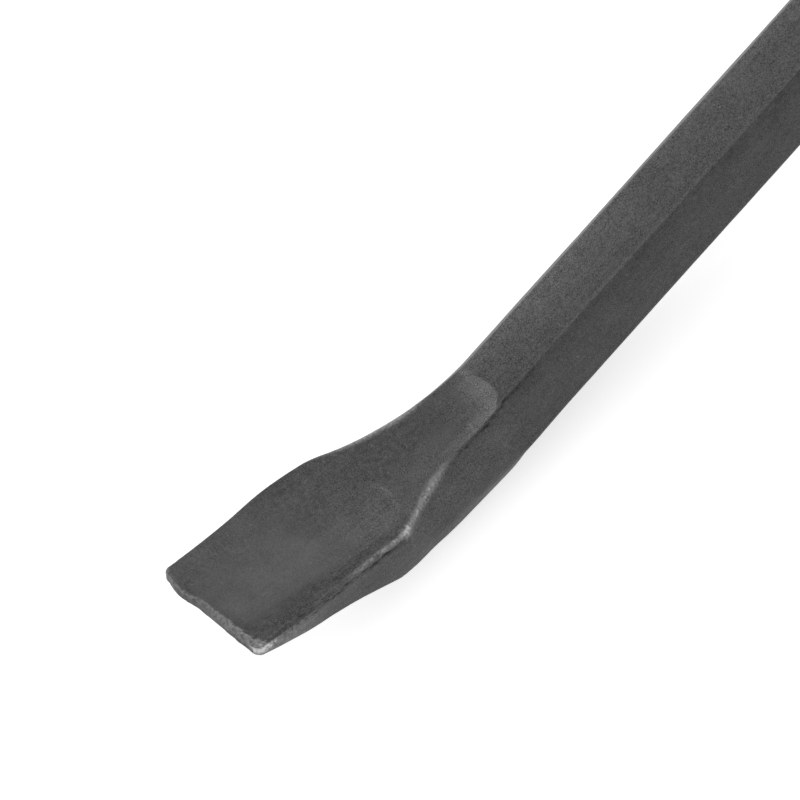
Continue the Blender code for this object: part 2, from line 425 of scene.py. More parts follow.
def whole_relief(spot, gaps):
    """Outward move of a point, by its spot on the unbent bar."""
    edge = min(abs(gap) for gap in gaps)
    waves = WAVE_DEPTH * lumps(spot, WAVE_SIZE) + FACET_DEPTH * lumps(spot, FACET_SIZE)
    nicks = max(lumps(spot, NICK_SIZE) - NICK_RARITY, 0.0) * hill(edge, 0, 0.6)
    crown = 1 - hill(edge, 0, 3.0)
    return waves - NICK_DEPTH * nicks + FACE_CROWN * crown


def ridge_relief(gaps):
    """The trimmed fins of the near top and the far bottom edge, and the hollows under them."""
    ridges = (gaps[RIDGE], gaps[FAR_BOTTOM])
    return sum(RIDGE_HEIGHT * hill(gap, 0, 0.32) - HOLLOW_DEPTH * hill(gap, -1.6, 1.4) for gap in ridges)


def near_fullness(distance):
    """How much fuller than the plain shape the near side is, at that distance past the shaft's end."""
    hills = sum(height * hill(distance, centre, width) for height, centre, width in NEAR_HILLS)
    ends = FULLER_BAR * (1 - rise(distance, 10, 15)) + FULLER_TIP * rise(distance, 58, 10)
    return (hills + ends) * MM


def near_relief(distance, gaps):
    """Spreads that fullness along the near side's middle, and further on down to its lower edge."""
    spread = hill(gaps[NEAR_SIDE], 0, 4)
    lower = 1.0 if gaps[NEAR_SIDE] < 0 < gaps[NEAR_BOTTOM] else hill(gaps[NEAR_BOTTOM], 0, 4)
    lower *= max(rise(distance, 14, 8), 0.5 * hill(distance, 6, 4))
    return near_fullness(distance) * max(spread, lower)


fullest = max(near_fullness(distance * MM) for distance in range(60))
print("the near side is up to", round(fullest / MM, 2), "mm fuller")

# %% [markdown]
# A skin is lofted: a ring at the first station is extruded edge by edge through the others, and closed at
# both ends. Four things are kept on every point for the finish: its spot on the unbent bar, so that
# patterns follow the bends, its wear, its tone, which also carries painted light and shade, and its grain.
# A curve with a bevel profile would be quicker to draw, but it can't change its section so freely on the
# way.

# %% The loft
SHARP_ANGLE = math.radians(38)
DRAWN_SHARE = 0.97
DRAWN_WEAR_LOSS = 0.6
skins = {}


def station(place, section, spot_x, relief, finish, forward=None, side=1):
    """One ring: each point's position, its spot on the unbent bar, its wear, its tone and its grain."""
    points, gaps = section
    count = len(points)
    ring = []
    for i, point in enumerate(points):
        run = points[(i + 1) % count] - points[i - 1]
        normal = Vector((-run.y, run.x)).normalized()
        spot = Vector((spot_x, side * point.x, point.y))
        moved = point + normal * relief(spot, gaps[i])
        ahead = forward(spot) if forward else 0.0
        position = place @ Vector((ahead, side * moved.x, moved.y))
        ring.append((position, spot, *finish(spot, gaps[i])))
    return ring


def drawn_in(place, ring, middle, bulge, steps=6):
    """Further rings that close a thin end: it is drawn in to its middle line, bulging and less worn."""
    turn = place.to_3x3()
    ahead = turn @ Vector((1, 0, 0))
    upward = turn @ Vector((0, 0, 1))
    rings = []
    for step in range(1, steps + 1):
        share = DRAWN_SHARE * math.sin(math.pi / 2 * step / steps)
        forward = ahead * (bulge * math.sqrt(1 - (1 - share) ** 2))
        drawn = []
        for position, spot, wear, *others in ring:
            off_middle = middle - (position - place.translation).dot(upward)
            position = position + upward * off_middle * share + forward
            spot = Vector((spot.x, spot.y, mix(spot.z, middle, share)))
            drawn.append((position, spot, wear * (1 - DRAWN_WEAR_LOSS * share), *others))
        rings.append(drawn)
    return rings


def loft(name, node, stations):
    """Makes the skin of one node from its rings and puts it in the frame; a spot is kept as straight."""
    shape = bmesh.new()
    layers = [shape.verts.layers.float_vector.new("straight")]
    # the tone layer also carries painted light and shade
    layers += [shape.verts.layers.float.new(kept) for kept in ("wear", "tone_and_painted_light", "grain")]

    def settle(ring, marks):
        for vertex, (position, *values) in zip(ring, marks):
            vertex.co = lie @ position
            for layer, value in zip(layers, values):
                vertex[layer] = value

    count = len(stations[0])
    ring = list(bmesh.ops.create_circle(shape, segments=count, radius=ACROSS_FLATS)["verts"])
    settle(ring, stations[0])
    for marks in stations[1:]:
        edges = [shape.edges.get((ring[i - 1], ring[i])) for i in range(count)]
        grown = bmesh.ops.extrude_edge_only(shape, edges=edges)["geom"]
        fresh = {v for v in grown if isinstance(v, bmesh.types.BMVert)}
        ring = [next(e.other_vert(v) for e in v.link_edges if e.other_vert(v) in fresh) for v in ring]
        settle(ring, marks)
    open_edges = [e for e in shape.edges if e.is_boundary]
    caps = bmesh.ops.holes_fill(shape, edges=open_edges, sides=count)["faces"]
    bmesh.ops.triangulate(shape, faces=caps, ngon_method="BEAUTY")
    bmesh.ops.recalc_face_normals(shape, faces=shape.faces)
    mesh = bpy.data.meshes.new(name)
    shape.to_mesh(mesh)
    shape.free()
    mesh.shade_smooth()
    mesh.set_sharp_from_angle(angle=SHARP_ANGLE)
    skin = bpy.data.objects.new(name, mesh)
    add_object(skin)
    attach(skin, "root")
    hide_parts(node)
    skins[name] = skin
    print(name, "has", len(stations), "stations and", len(mesh.polygons), "faces")


print("edges sharper than", round(math.degrees(SHARP_ANGLE)), "degrees stay sharp")

# %% [markdown]
# The straight shaft is rolled stock, so its section never changes. Two ridges run along it, and shade is
# painted into the hollow under the near one. Close to the chisel the dies also left a broken crease, so the
# first centimetre has finer stations, and shade is painted into the crease too. Highlights are painted along
# the top's far edge and on the ridge, with light falling off across the top and a shadow by the neck.

# %% The straight shaft
SHAFT_STEP = 2.0 * MM
FINE_LENGTH = 10.0 * MM
FINE_STEP = 0.4 * MM
NECK_CREASE_DEPTH = 0.6 * CREASE_DEPTH
# Painted light and shade on the shaft: shade in the crease and under the ridge, highlights on the far top
# edge and the ridge, light falling off across the top, and a shadow by the neck.
PAINTED_CREASE_SHADE = 0.8
PAINTED_FAR_EDGE_LIGHT = 0.30
PAINTED_RIDGE_HIGHLIGHT = 0.14
PAINTED_TOP_SLOPE = 0.08
PAINTED_SIDE_SHADE = 0.10
PAINTED_HOLLOW_SHADE = 0.15
PAINTED_NECK_SHADOW = 0.08
FAR_LIGHT = 0.10
FAR_SHADE = 0.14
SHAFT_WEAR = 0.14
SIDE_GRAIN = 0.65
TOP_GRAIN = 0.8


def crease(spot, gap):
    """The broken crease under the ridge on the chisel's neck: it starts a few millimetres up the shaft."""
    if spot.x > FINE_LENGTH:
        return 0.0
    middle = -0.5 + 0.4 * lumps(spot, (1.3, 9, 9))
    broken = 0.8 + 0.9 * lumps(spot, (1.2, 0.7, 0.7))
    return max(broken, 0.2) * hill(gap, middle, 0.32) * window(-spot.x, -2, 13, 9)


def shaft_relief(spot, gaps):
    ridges = ridge_relief(gaps) - NECK_CREASE_DEPTH * crease(spot, gaps[RIDGE])
    return whole_relief(spot, gaps) + ridges + near_relief(-spot.x, gaps)


def bar_painted_light(spot, gaps):
    """Painted light and shade: highlights along the far top edge and on the ridge, light falling off across
    the top, patchy shade under the ridge and a shadow by the neck; lighter, then darker, over the top's far
    half.
    """
    gap = gaps[RIDGE]
    top = on_top(gaps)
    # painted highlight along the far top edge, and painted light falling off across the top
    tone_and_painted_light = 1 + PAINTED_FAR_EDGE_LIGHT * hill(gaps[FAR_TOP], 0, 2.8) + PAINTED_TOP_SLOPE * top * spot.y / HALF_FLAT_WIDTH
    # painted shade in the hollow under the near ridge: patchy close to it, and growing along the shaft
    if gap < 0:
        patchy = 1 + 0.5 * lumps(spot, (5, 2, 2))
        tone_and_painted_light -= PAINTED_SIDE_SHADE * (1 - rise(-gap, 0, 6.5)) + PAINTED_HOLLOW_SHADE * patchy * (1 - rise(-gap, 0, 2.6))
        tone_and_painted_light -= PAINTED_SIDE_SHADE * rise(spot.x, 20, 70) * (1 - rise(-gap, 0, 5))
    # painted shadow on the top close to the neck
    tone_and_painted_light -= PAINTED_NECK_SHADOW * top * hill(spot.x, 4, 6)
    far_part = top * rise(spot.y, -3, 5)
    tone_and_painted_light += far_part * (FAR_LIGHT * hill(spot.x, 15, 14) - FAR_SHADE * window(spot.x, 47, 120, 9))
    # painted highlight along the ridge
    return tone_and_painted_light + PAINTED_RIDGE_HIGHLIGHT * hill(gap, 0.25, 0.25)


def shaft_finish(spot, gaps):
    """The edges are rubbed a little, the grain is strongest on the top, and light and shade are painted on.
    """
    patchy = 0.7 + 0.6 * lumps(spot, (6, 2, 2))
    edge = min(abs(gaps[corner]) for corner in (RIDGE, FAR_SIDE, NEAR_SIDE, FAR_BOTTOM, NEAR_BOTTOM))
    # painted shade in the broken crease
    tone_and_painted_light = bar_painted_light(spot, gaps) * (1 - PAINTED_CREASE_SHADE * crease(spot, gaps[RIDGE]))
    return SHAFT_WEAR * hill(edge, 0, 0.35) * patchy, tone_and_painted_light, mix(SIDE_GRAIN, TOP_GRAIN, on_top(gaps))


SHAFT_STOPS = evenly(0.0, FINE_LENGTH, round(FINE_LENGTH / FINE_STEP))
SHAFT_STOPS += evenly(FINE_LENGTH, SHAFT_LENGTH, round((SHAFT_LENGTH - FINE_LENGTH) / SHAFT_STEP))[1:]
loft("forged_shaft", "hex_shaft", [
    station(shaft_place(d), stock_section, d, shaft_relief, shaft_finish)
    for d in SHAFT_STOPS
])

# %% [markdown]
# The chisel end is one continuous shape, cut into neck and blade only where the plain solids are. The
# hexagon flares into a flat rectangle, with a crisp near shoulder, a soft far one, and sides that belly
# out. Each width and height is a function of the distance along the middle line, so that a change in one
# place reaches both pieces.

# %% Widths and heights of the chisel end
BLADE_LENGTH = 38.0 * MM
TIP_AT = NECK_LENGTH + BLADE_LENGTH
HALF_BLADE = 12.5 * MM
HEEL_AT = NECK_LENGTH + 2.7 * MM
HEEL_THICKNESS = 10.8 * MM
TIP_THICKNESS = 2.3 * MM
NEAR_TOP_FLARE = 2.55
FAR_TOP_FLARE = 2.0
SIDE_FLARE = 1.25
BOTTOM_FLARE = 0.9
PRESSED_FROM = 31.6 * MM
NECK_FULLNESS = 0.7 * MM
NEAR_CORNER_RADIUS = 1.4 * MM
FAR_CORNER_RADIUS = 1.2 * MM
SHOULDER_REACH = 3.5 * MM
SIDE_REACH = 4 * MM
BLADE_CUTS = (0.7, 0.5, 0.5, 0.5, 0.4, 0.5)
FULLER_CUTS = {
    RIDGE: (0.8, 20, 33, 6),
    FAR_TOP: (1.0, 18, 33, 7),
    FAR_SIDE: (3.6, 12, 36, 10),
    NEAR_SIDE: (3.6, 12, 36, 10),
}


def end_rounding(left, radius):
    """How much a rounded end has narrowed a side, with that much length left before the end."""
    if left >= radius:
        return 0.0
    return radius - math.sqrt(max(radius * radius - (radius - left) ** 2, 0.0))


def flare(distance, flare_power, start):
    """Half width along the neck: late flares have a high power."""
    return mix(start, HALF_BLADE, min(max(distance / NECK_LENGTH, 0.0), 1.0) ** flare_power)


def averaged(shape, distance, reach):
    """A shape averaged over that reach to both sides, which softens its turns."""
    reach = min(reach, max(distance, 0.0))
    return sum(shape(d) for d in evenly(distance - reach, distance + reach, 6)) / 7


def near_half(distance):
    """Crisp at the shoulder, with a bulge at the neck's start and a long belly on the blade."""
    belly = 0.5 * hill(distance, 57, 11) + 0.25 * rise(distance, 54, 8)
    belly += 0.75 * hill(distance, 8.5, 8.5) * rise(distance, 0, 4)
    return flare(distance, NEAR_TOP_FLARE, HALF_FLAT_WIDTH) + belly * MM


def far_half(distance):
    """Soft at the shoulder, with a belly that comes sooner."""
    def shape(d):
        return flare(d, FAR_TOP_FLARE, HALF_FLAT_WIDTH) + 1.12 * MM * hill(d, 47.5, 9.5)

    return averaged(shape, distance, SHOULDER_REACH)


def soft_flare(distance, power, start):
    return averaged(lambda d: flare(d, power, start), distance, SIDE_REACH)


def blade_share(distance):
    """0 on the neck, 1 on the blade."""
    return rise(distance - NECK_LENGTH, 0, 9)


def halves(distance, top_half, corner_radius):
    """Half widths of the top, the side corner and the bottom, which become one in the blade."""
    rounding = end_rounding(TIP_AT - distance, corner_radius)
    merged = blade_share(distance)
    side = mix(soft_flare(distance, SIDE_FLARE, HALF_CORNERS), top_half, merged)
    bottom = mix(soft_flare(distance, BOTTOM_FLARE, HALF_FLAT_WIDTH), top_half, merged)
    return top_half - rounding, side - rounding, bottom - rounding


def chisel_top(distance):
    """The neck is a little full on top, up to where the dies pressed the blade flat."""
    share = min(distance / PRESSED_FROM, 1.0)
    return HALF_FLATS + NECK_FULLNESS * 4 * share * (1 - share)


def chisel_bottom(distance):
    """The underside rises to the heel, then tapers straight to the tip."""
    heel = HALF_FLATS - HEEL_THICKNESS
    if distance < HEEL_AT:
        return mix(-HALF_FLATS, heel, ease(distance / HEEL_AT))
    return mix(heel, HALF_FLATS - TIP_THICKNESS, (distance - HEEL_AT) / (TIP_AT - HEEL_AT))


def chisel_section(distance):
    near = halves(distance, near_half(distance), NEAR_CORNER_RADIUS)
    far = halves(distance, far_half(distance), FAR_CORNER_RADIUS)
    cuts = [mix(stock, blade * MM, blade_share(distance)) for stock, blade in zip(STOCK_CUTS, BLADE_CUTS)]
    for corner, (fuller, *place) in FULLER_CUTS.items():
        cuts[corner] += fuller * MM * window(distance, *place)
    return bar_section(near, far, chisel_top(distance), chisel_bottom(distance), cuts)


print("chisel end", round(TIP_AT / MM, 1), "mm long,", round(2 * HALF_BLADE / MM, 1), "mm wide")

# %% [markdown]
# On the chisel's top the dies left an arc where they first bit into the flat, a pressed band inside the
# near edge with a lip outside it, and a crease just under that edge. Prying has bevelled the tip, most at
# the near corner.

# %% Relief of the chisel end
DIE_STEP = 0.12 * MM
BAND_WIDTH = 4.4 * MM
BAND_DEPTH = 0.28 * MM
LIP_HEIGHT = 0.12 * MM
NEAR_BEVEL = 1.45 * MM
FAR_BEVEL = 0.25 * MM
BEVEL_SLOPE = 0.6
BEVEL_POWER = 1.3


def past_die_mark(spot):
    """How far towards the tip of the arc where the dies first bit: it turns back sharply at the ridge."""
    arc = 0.2 * MM + 1.6 * MM * ((spot.y + 1.0 * MM) / (5.6 * MM)) ** 2
    return -spot.x - arc - 2.2 * MM * rise(-spot.y, 3.2, 3)


def lip_crease(spot, gap):
    """1 in the wandering, broken crease under the blade's near edge."""
    middle = -0.8 + 0.5 * lumps(spot, (1.4, 9, 9))
    broken = 0.85 + 1.1 * lumps(spot, (1.0, 0.6, 0.6))
    return max(broken, 0.15) * hill(gap, middle, 0.6) * window(-spot.x, 37, 70, 3)


def bevel_length(spot):
    """How far the worn bevel reaches back from the tip: longest at the near corner."""
    across = (spot.y + HALF_BLADE) / (2 * HALF_BLADE)
    return mix(NEAR_BEVEL, FAR_BEVEL, across) * (1 + 0.3 * lumps(spot, (9, 1.3, 9)))


def chisel_relief(spot, gaps):
    distance = -spot.x
    gap = gaps[RIDGE]
    relief = whole_relief(spot, gaps) + near_relief(distance, gaps)
    relief += (1 - rise(distance, 10, 20)) * ridge_relief(gaps)
    relief -= NECK_CREASE_DEPTH * crease(spot, gap) + CREASE_DEPTH * lip_crease(spot, gap)
    relief += LIP_HEIGHT * hill(gap, 0.35, 0.35) * window(distance, 36, 47, 9)
    if on_top(gaps) > 0:
        band = BAND_WIDTH / MM * (1 + 0.12 * lumps(spot, (7, 7, 7)))
        pressed = rise(gap, 0.5, 0.6) * (1 - rise(gap, 1, band - 1))
        relief -= BAND_DEPTH * pressed * window(distance, 36, 70, 4)
        past = past_die_mark(spot)
        relief -= DIE_STEP * on_top(gaps) * rise(past, 0, 0.35) * (1 - rise(past, 0, 9))
    if min(gap, -gaps[FAR_TOP]) > -TOP_MARGIN * MM:
        length = bevel_length(spot)
        relief -= BEVEL_SLOPE * length * max(1 - (TIP_AT - distance) / length, 0.0) ** BEVEL_POWER
    return relief


print("the pressed band is", round(BAND_WIDTH / MM, 1), "mm wide and", round(BAND_DEPTH / MM, 2), "mm deep")

# %% [markdown]
# Use wears a chisel where it touches timber and nails. Each worn place is a soft window or hill over
# distance and gap, made ragged with noise, and the strongest one wins. Painting the wear by hand would do
# too, but a script can't hold a painting.

# %% How worn the chisel end is
def chisel_wear(spot, gaps):
    """Where the lacquer is rubbed: 0.5 is scuffed grey, 1 starts to be bare."""
    distance = -spot.x
    gap = gaps[RIDGE]
    left = TIP_AT - distance
    rough = lumps(spot, (1.2, 0.8, 0.8))
    near_end = rise(-spot.y, -7, 12)
    bevel = bevel_length(spot)
    facet = mix(0.28, 0.84, near_end) + mix(0.60, 0.15, near_end) * hill(left, bevel / MM - 0.1, 0.4)
    rubbed_width = 0.55 + 0.4 * hill(distance, 26, 6)
    ragged_lip = window(distance, 36, 40, 19) * min(1 + 0.8 * rough, 1.1)
    near_corner = rise(-left - max(gap, 0.0), -4.2 * (1 + 0.15 * rough), 1.3)
    wear = {
        "near edge of the neck": 1.05 * window(distance, 25, 35.5, 12) * hill(gap, 0.1, rubbed_width),
        "lip of the blade": 0.82 * ragged_lip * hill(gap, 0.25, 0.65),
        "heel": 1.17 * window(distance, 34.8, 36.4, 1.0) * hill(gap, 0.2, 1.2),
        "far edge of the neck": 1.05 * window(distance, 20, 29, 12) * hill(gaps[FAR_TOP], 0.3, 1.1),
        "near corner": 0.9 * near_corner * rise(gap, -0.5, 0.5) * rise(-gap, -6, 1),
        "far corner": 0.7 * hill(math.hypot(left, gaps[FAR_TOP]), 0.2, 1.1),
        "bevel": facet * rise(bevel - left, -0.15, 0.4) * rise(gap, -0.4, 0.4),
        "tip": 0.25 * rise(-left, -1.5, 1),
    }
    if gap < 0 and gaps[NEAR_BOTTOM] > -0.5 * MM:
        ragged = rise(-gap, 0.08 * (1 + 2.5 * rough), 0.5)
        corner = hill(left, 1.5, 4.0) * hill(gap, -0.5, 1.4)
        wear["near side"] = 0.62 * ragged * rise(distance, 51, 16) + 1.15 * corner
    return max(wear.values()) * (0.95 + 0.25 * rough)


print("wear goes from 0, fresh lacquer, past 0.85, grey all over, to 1.5, bare steel")

# %% [markdown]
# A sheen is painted on where the dies bit, with a painted shadow before it, and painted shade darkens the
# pressed band, the creases and the neck's side low down. A highlight, light and a shadow are painted round
# the line where the blade was pressed flat, and light on the neck's side higher up. The tone is a factor on
# its colour, so it looks the same from every side.

# %% How light the chisel's lacquer is, with the light and shade painted on it, and how strong its grain
# Painted light and shade on the chisel: a sheen and a shadow at the dies' arc, shade in the pressed band, a
# highlight, light and a shadow at the press line, light on the neck's side and shade low on it.
PAINTED_PATCH_SHEEN = 1.05
PAINTED_PATCH_SHADOW = 0.20
PAINTED_BAND_SHADE = 0.28
RIM_SHADE = 0.20
DARK_SPOT_STRENGTH = 0.40
PAINTED_PRESS_HIGHLIGHT = 0.40
PAINTED_PRESS_LIGHT = 0.05
PAINTED_PRESS_SHADOW = 0.12
WORKED_LIGHT = 0.08
MIDDLE_LIGHT = 0.12
CORNER_SHADE = 0.10
WAIST_LIGHT = 0.04
EDGE_LINE_SHADE = 0.30
FLANK_SHADE = 0.27
PAINTED_SIDE_LIGHT = 0.08
PAINTED_LOW_SIDE_SHADE = 0.45
UNDER_LIP_LIGHT = 0.12
PAINTED_NECK_SIDE_LIGHT = 0.10
CHISEL_SIDE_GRAIN = 0.8
CHISEL_TOP_GRAIN = 0.75
SMOOTHED_GRAIN = 0.45


def die_painted_light(spot):
    """Painted light at the arc where the dies first bit: a painted sheen on the patch past it, a painted
    shadow before it.
    """
    past = past_die_mark(spot)
    fading = 1 - rise(past, 0, mix(10, 18, rise(-spot.y, 3.5, 1.3)))
    patch = rise(past, 0, 0.5) * fading * window(spot.y, -6.5, 0.5, 4.5)
    patch = max(patch, 0.6 * hill(past, 0.3, 0.7) * rise(spot.y, 2, 2))
    # a painted sheen on the patch past the arc, and a painted shadow before it
    return PAINTED_PATCH_SHEEN * patch - PAINTED_PATCH_SHADOW * hill(past, -1.2, 1.2) * hill(spot.y, -2, 4)


def blade_tone_and_painted_shade(spot, gap, rough):
    """Swings on the blade: painted shade in its pressed band, a darker rim behind the bevel, a dark spot by
    the bite.
    """
    distance = -spot.x
    left = TIP_AT - distance
    width = mix(2.8, 5.3, rise(distance, 42, 18)) - 1.3 * (0.6 + 0.35 * rough)
    band = (1 - 0.4 * rise(distance, 64, 6)) * (1 - rise(gap, width, 1.3)) * window(distance, 35, 74, 3)
    rim = hill(left, bevel_length(spot) / MM + 0.8, 1.0) * rise(-spot.y, -4, 9)
    dark_spot = hill(spot.y, 6.3, 1.8) * hill(left, 1.0, 0.6)
    # painted shade in the pressed band
    return -PAINTED_BAND_SHADE * band * (1 + 0.5 * rough) - RIM_SHADE * rim * (1 + 0.8 * rough) - DARK_SPOT_STRENGTH * dark_spot


def press_tone_and_painted_light(
spot, rough):
    """A painted highlight on the line where the dies pressed the blade flat, painted light past it and a
    painted shadow before it, and swings on the steel beside it.
    """
    distance = -spot.x
    past = distance - PRESSED_FROM + 0.4 * MM - 1.2 * MM * ((spot.y + 3 * MM) / (4 * MM)) ** 2
    # a painted highlight on the line, painted light past it and a painted shadow before it
    line = PAINTED_PRESS_HIGHLIGHT * hill(past, 0.7, 0.6) * (1 + 0.4 * rough)
    line += PAINTED_PRESS_LIGHT * rise(past, 0, 0.5) - PAINTED_PRESS_SHADOW * hill(past, -2.2, 2.2)
    line *= window(spot.y, -6.5, 0, 1.5) * (1 - rise(past, 0, 4))
    worked = WORKED_LIGHT * hill(spot.y, -4, 5) * window(distance, 56, 70, 9)
    middle = MIDDLE_LIGHT * window(distance, 40, 60, 9) * hill(spot.y, -1, 8)
    corner = CORNER_SHADE * hill(spot.y, 11, 5) * rise(distance, 44, 8)
    waist = WAIST_LIGHT * hill(spot.y, -5, 4) * window(distance, 18, 30, 8)
    return line + worked + middle - corner + waist


def chisel_tone_and_painted_light(spot, gaps):
    """How light the lacquer is, with painted light: a painted sheen at the dies' arc, painted shade in the
    pressed band, the creases and low on the neck's side.
    """
    distance = -spot.x
    gap = gaps[RIDGE]
    top = on_top(gaps)
    rough = lumps(spot, (1.6, 0.8, 0.8))
    edge_line = hill(gap, 0.45, 0.4) * rise(distance, 58, 6)
    flank = top * rise(spot.y, -5, 8) * window(distance, 7, 46, 9)
    side = rise(-gap, 1, 2) * window(distance, 7, 27, 7)
    low_side = rise(-gaps[NEAR_SIDE], -2, 4) * rise(gaps[NEAR_BOTTOM], -2, 2)
    under_lip = hill(gap, -2.1, 0.5) * window(distance, 42, 62, 5)
    # the shaft's painted light and shade, fading out along the neck
    tone_and_painted_light = mix(bar_painted_light(spot, gaps), 1.0, rise(distance, 2, 16))
    # painted sheen and shadow at the dies' arc
    tone_and_painted_light *= 1 + top * die_painted_light(spot)
    # painted shade in the pressed band, and the blade's other swings
    tone_and_painted_light *= 1 + top * blade_tone_and_painted_shade(spot, gap, rough)
    # painted highlight, light and shadow round the press line
    tone_and_painted_light *= 1 + top * press_tone_and_painted_light(spot, rough)
    # painted shade in the creases under the ridge and under the lip
    tone_and_painted_light *= 1 - PAINTED_CREASE_SHADE * (crease(spot, gap) + lip_crease(spot, gap))
    tone_and_painted_light *= 1 - EDGE_LINE_SHADE * edge_line * (1 + rough) - FLANK_SHADE * flank
    # painted light on the neck's near side, with painted shade low on it
    tone_and_painted_light *= 1 + side * (PAINTED_SIDE_LIGHT - PAINTED_LOW_SIDE_SHADE * low_side) + UNDER_LIP_LIGHT * under_lip
    return tone_and_painted_light * (1 + PAINTED_NECK_SIDE_LIGHT * hill(distance, 14, 8) * hill(gap, -4, 4))


def chisel_grain(spot, gaps):
    """The pressed blade is smoother than the rest, apart from its dark band."""
    top = on_top(gaps)
    pressed = top * rise(-spot.x, 36, 16) * rise(gaps[RIDGE], 2.5, 2)
    smoothed = SMOOTHED_GRAIN * pressed * (1 - 0.4 * rise(spot.y, 2, 8))
    return mix(CHISEL_SIDE_GRAIN, CHISEL_TOP_GRAIN, top) - smoothed


def chisel_finish(spot, gaps):
    return chisel_wear(spot, gaps), chisel_tone_and_painted_light(spot, gaps), chisel_grain(spot, gaps)


print("the dies' patch is lighter by up to", PAINTED_PATCH_SHEEN, "and the pressed band darker by", PAINTED_BAND_SHADE)

# %% [markdown]
# The neck is the bent part between the shaft and the blade. Its first stations are close together, because
# the patch that the dies left on the top starts there.

# %% The neck
NECK_FINE_LENGTH = 4 * MM
NECK_FINE_STEPS = 18
NECK_STEPS = 72
NECK_STOPS = evenly(0.0, NECK_FINE_LENGTH, NECK_FINE_STEPS)
NECK_STOPS += evenly(NECK_FINE_LENGTH, NECK_LENGTH, NECK_STEPS)[1:]
loft("forged_neck", "chisel_neck", [
    station(chisel_place(d), chisel_section(d), -d, chisel_relief, chisel_finish)
    for d in NECK_STOPS
])

# %% [markdown]
# The tip isn't square: the far part stands further forward, with a bump where a bite has left it, and the
# near corner is rounder. So the last few millimetres are pushed forward by a front that depends on the
# place across.

# %% The blade
FRONT_REACH = 6 * MM
TIP_SET_BACK = 0.33 * MM
TIP_SLANT = 0.027
TIP_ROUNDING = 1.2
BUMP_AHEAD = 0.60 * MM
OVERHANG = 0.35 * MM
RAGGED_TIP = 0.10 * MM
TIP_BULGE = 0.18 * MM
BLADE_STEPS = 96
TIP_STEPS = 9
TIP_MIDDLE = HALF_FLATS - 0.6 * TIP_THICKNESS


def tip_front(y):
    """How far the real tip stands before the plain one, across the blade."""
    return BUMP_AHEAD * hill(y, 6.6, 2.7) + TIP_SLANT * y - TIP_ROUNDING * y * y - TIP_SET_BACK


def blade_station(distance):
    pushed = ease((distance - TIP_AT + FRONT_REACH) / FRONT_REACH)
    tip_only = rise(distance - TIP_AT, -1, 1)

    def forward(spot):
        rough = RAGGED_TIP * lumps(spot, (2, 1.6, 2)) * tip_only
        height = (spot.z - HALF_FLATS + TIP_THICKNESS) / TIP_THICKNESS
        overhang = OVERHANG * height * window(spot.y, 6, 8, 5)
        return (tip_front(spot.y) + overhang) * pushed + rough

    section = chisel_section(distance)
    return station(chisel_place(distance), section, -distance, chisel_relief, chisel_finish, forward)


BLADE_STOPS = evenly(NECK_LENGTH, TIP_AT - NEAR_CORNER_RADIUS, BLADE_STEPS) + [
    TIP_AT - NEAR_CORNER_RADIUS * (1 - math.sin(math.pi / 2 * step / TIP_STEPS))
    for step in range(1, TIP_STEPS + 1)
]
blade_rings = [blade_station(d) for d in BLADE_STOPS]
blade_rings += drawn_in(chisel_place(TIP_AT), blade_rings[-1], TIP_MIDDLE, TIP_BULGE)
loft("forged_blade", "chisel_blade", blade_rings)

# %% [markdown]
# The gooseneck is the same hexagonal stock bent round on a former, so it is the shaft's section on an arc.
# A real bend thins the outside a little; at this radius that is too little to see.

# %% The gooseneck
HOOK_STEP = 0.9 * MM
loft("forged_gooseneck", "gooseneck", [
    station(hook_place(d), stock_section, SHAFT_LENGTH + d, shaft_relief, shaft_finish)
    for d in evenly(0.0, HOOK_LENGTH, round(HOOK_LENGTH / HOOK_STEP))
])

# %% [markdown]
# At its root the claw is hammered from the hexagon into a flat, wide bar. The section keeps its six
# corners, and the two at the sides come into line with the others, so that it ends as the rectangle that
# the tines start from. The bar's ridges and its finish fade out on the way.

# %% The claw's root
CLAW_LENGTH = 60.0 * MM
HALF_CLAW = 15.5 * MM
CLAW_ROOT_THICKNESS = 8.5 * MM
CLAW_TIP_THICKNESS = 2.6 * MM
SLOT_LENGTH = 34.0 * MM
SLOT_START = CLAW_LENGTH - SLOT_LENGTH
CLAW_STEP = 0.6 * MM
CLAW_AT = SHAFT_LENGTH + HOOK_LENGTH
TINE_TONE = 1.0
TINE_GRAIN = 0.8


def claw_half_width(distance):
    """Half the claw's width, from the bar's corners out to the tines."""
    return mix(HALF_CORNERS, HALF_CLAW, ease(distance / (SLOT_START + SLOT_LENGTH / 3)))


def claw_half_thickness(distance):
    """Half the claw's thickness: forged down fast as far as the slot, then a slow taper."""
    if distance < SLOT_START:
        return mix(ACROSS_FLATS, CLAW_ROOT_THICKNESS, ease(distance / SLOT_START)) / 2
    return mix(CLAW_ROOT_THICKNESS, CLAW_TIP_THICKNESS, (distance - SLOT_START) / SLOT_LENGTH) / 2


def claw_root_section(distance):
    half = claw_half_width(distance)
    flat_half = mix(HALF_FLAT_WIDTH, half, ease(distance / SLOT_START))
    thick = claw_half_thickness(distance)
    sides = (flat_half, half, flat_half)
    cuts = [mix(cut, EDGE_CUT, ease(distance / SLOT_START)) for cut in STOCK_CUTS]
    return bar_section(sides, sides, thick, -thick, cuts)


def bar_left(spot):
    """How much of the bar's own marks is left on the claw's root: all where it starts, none at the slot."""
    return 1 - ease((spot.x - CLAW_AT) / SLOT_START)


def claw_root_relief(spot, gaps):
    marks = ridge_relief(gaps) + near_relief(-spot.x, gaps)
    return whole_relief(spot, gaps) + bar_left(spot) * marks


